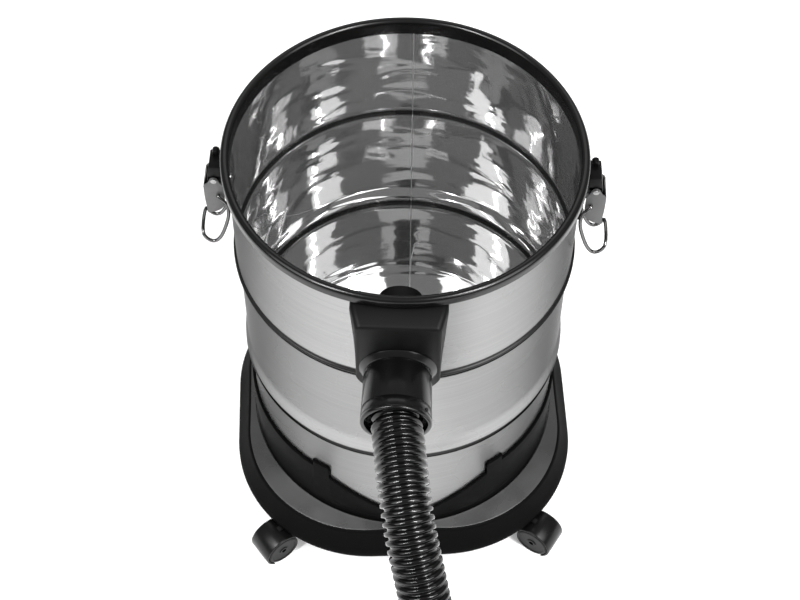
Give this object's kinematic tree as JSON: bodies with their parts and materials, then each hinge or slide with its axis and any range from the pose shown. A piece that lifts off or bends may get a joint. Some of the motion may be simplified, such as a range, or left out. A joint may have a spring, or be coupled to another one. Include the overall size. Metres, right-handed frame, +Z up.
{
  "type": "shop vacuum tank with hose on casters",
  "caption": "Open stainless steel shop vacuum tank on a black castered dolly, with a corrugated hose on its front inlet and a wire-bail latch at each side for the motor head.",
  "frame": {"origin": "on the floor under the axis of the tank", "axes": "+Z up along the axis of the tank; the hose inlet faces -Y; +X is to the right of someone who looks at the inlet"},
  "size_m": [0.7114, 1.1409, 0.527],
  "materials": {
    "steel_tank": "satin stainless sheet, brighter inside",
    "rim_black": "satin black moulding",
    "inlet_black": "satin black moulding",
    "gasket_rubber": "plain black rubber",
    "screw_steel": "plain steel",
    "cuff_black": "half-gloss black moulding",
    "hose_black": "glossy black corrugated plastic",
    "latch_black": "black moulded block",
    "latch_grey": "grey pressed metal",
    "latch_chrome": "bright plated wire",
    "dolly_black": "satin black moulding",
    "caster_black": "half-gloss black nylon",
    "wheel_black": "plain black nylon"
  },
  "bodies": {
    "vacuum": {"tank_shell": "steel_tank", "tank_pan": "steel_tank", "rim_ring": "rim_black", "inlet_gasket": "gasket_rubber", "inlet_housing": "inlet_black", "inlet_elbow": "inlet_black", "inlet_screws": "screw_steel", "hose_cuff": "cuff_black", "hose_catch": "cuff_black", "hose_tube": "hose_black", "hose_end": "cuff_black", "latch_rivets": "screw_steel", "latch_base_left": "latch_black", "latch_pin_left": "screw_steel", "latch_base_right": "latch_black", "latch_pin_right": "screw_steel", "dolly_body": "dolly_black", "cradle_ring": "dolly_black"},
    "lever_left": {"latch_lever_left": "latch_grey"},
    "bail_left": {"latch_bail_left": "latch_chrome"},
    "lever_right": {"latch_lever_right": "latch_grey"},
    "bail_right": {"latch_bail_right": "latch_chrome"},
    "caster_fl": {"caster_body_fl": "caster_black", "caster_stem_fl": "screw_steel", "caster_axle_fl": "screw_steel"},
    "wheel_in_fl": {"wheel_in_fl": "wheel_black"},
    "wheel_out_fl": {"wheel_out_fl": "wheel_black"},
    "caster_fr": {"caster_body_fr": "caster_black", "caster_stem_fr": "screw_steel", "caster_axle_fr": "screw_steel"},
    "wheel_in_fr": {"wheel_in_fr": "wheel_black"},
    "wheel_out_fr": {"wheel_out_fr": "wheel_black"},
    "caster_bl": {"caster_body_bl": "caster_black", "caster_stem_bl": "screw_steel", "caster_axle_bl": "screw_steel"},
    "wheel_in_bl": {"wheel_in_bl": "wheel_black"},
    "wheel_out_bl": {"wheel_out_bl": "wheel_black"},
    "caster_br": {"caster_body_br": "caster_black", "caster_stem_br": "screw_steel", "caster_axle_br": "screw_steel"},
    "wheel_in_br": {"wheel_in_br": "wheel_black"},
    "wheel_out_br": {"wheel_out_br": "wheel_black"}
  },
  "joints": [
    {"name": "lever_left_turn", "type": "hinge", "parent": "vacuum", "child": "lever_left", "pos_m": [-0.1885, 0, 0.487], "axis": [0, 1, 0], "range_deg": [0, 75]},
    {"name": "bail_left_swing", "type": "hinge", "parent": "lever_left", "child": "bail_left", "pos_m": [-0.1855, 0, 0.4655], "axis": [0, 1, 0], "range_deg": [0, 105]},
    {"name": "lever_right_turn", "type": "hinge", "parent": "vacuum", "child": "lever_right", "pos_m": [0.1885, 0, 0.487], "axis": [0, -1, 0], "range_deg": [0, 75]},
    {"name": "bail_right_swing", "type": "hinge", "parent": "lever_right", "child": "bail_right", "pos_m": [0.1855, 0, 0.4655], "axis": [0, -1, 0], "range_deg": [0, 105]},
    {"name": "swivel_fl", "type": "hinge", "parent": "vacuum", "child": "caster_fl", "pos_m": [-0.12071, -0.15179, 0.0454], "axis": [0, 0, 1], "continuous": true},
    {"name": "wheel_in_fl_roll", "type": "hinge", "parent": "caster_fl", "child": "wheel_in_fl", "pos_m": [-0.14091, -0.16815, 0.02], "axis": [0.6293, -0.7771, 0], "continuous": true},
    {"name": "wheel_out_fl_roll", "type": "hinge", "parent": "caster_fl", "child": "wheel_out_fl", "pos_m": [-0.14091, -0.16815, 0.02], "axis": [0.6293, -0.7771, 0], "continuous": true},
    {"name": "swivel_fr", "type": "hinge", "parent": "vacuum", "child": "caster_fr", "pos_m": [0.14066, -0.13351, 0.0454], "axis": [0, 0, 1], "continuous": true},
    {"name": "wheel_in_fr_roll", "type": "hinge", "parent": "caster_fr", "child": "wheel_in_fr", "pos_m": [0.16294, -0.14691, 0.02], "axis": [0.515, 0.8572, 0], "continuous": true},
    {"name": "wheel_out_fr_roll", "type": "hinge", "parent": "caster_fr", "child": "wheel_out_fr", "pos_m": [0.16294, -0.14691, 0.02], "axis": [0.515, 0.8572, 0], "continuous": true},
    {"name": "swivel_bl", "type": "hinge", "parent": "vacuum", "child": "caster_bl", "pos_m": [-0.14066, 0.13351, 0.0454], "axis": [0, 0, 1], "continuous": true},
    {"name": "wheel_in_bl_roll", "type": "hinge", "parent": "caster_bl", "child": "wheel_in_bl", "pos_m": [-0.16294, 0.14691, 0.02], "axis": [-0.515, -0.8572, 0], "continuous": true},
    {"name": "wheel_out_bl_roll", "type": "hinge", "parent": "caster_bl", "child": "wheel_out_bl", "pos_m": [-0.16294, 0.14691, 0.02], "axis": [-0.515, -0.8572, 0], "continuous": true},
    {"name": "swivel_br", "type": "hinge", "parent": "vacuum", "child": "caster_br", "pos_m": [0.12071, 0.15179, 0.0454], "axis": [0, 0, 1], "continuous": true},
    {"name": "wheel_in_br_roll", "type": "hinge", "parent": "caster_br", "child": "wheel_in_br", "pos_m": [0.14091, 0.16815, 0.02], "axis": [-0.6293, 0.7771, 0], "continuous": true},
    {"name": "wheel_out_br_roll", "type": "hinge", "parent": "caster_br", "child": "wheel_out_br", "pos_m": [0.14091, 0.16815, 0.02], "axis": [-0.6293, 0.7771, 0], "continuous": true}
  ]
}
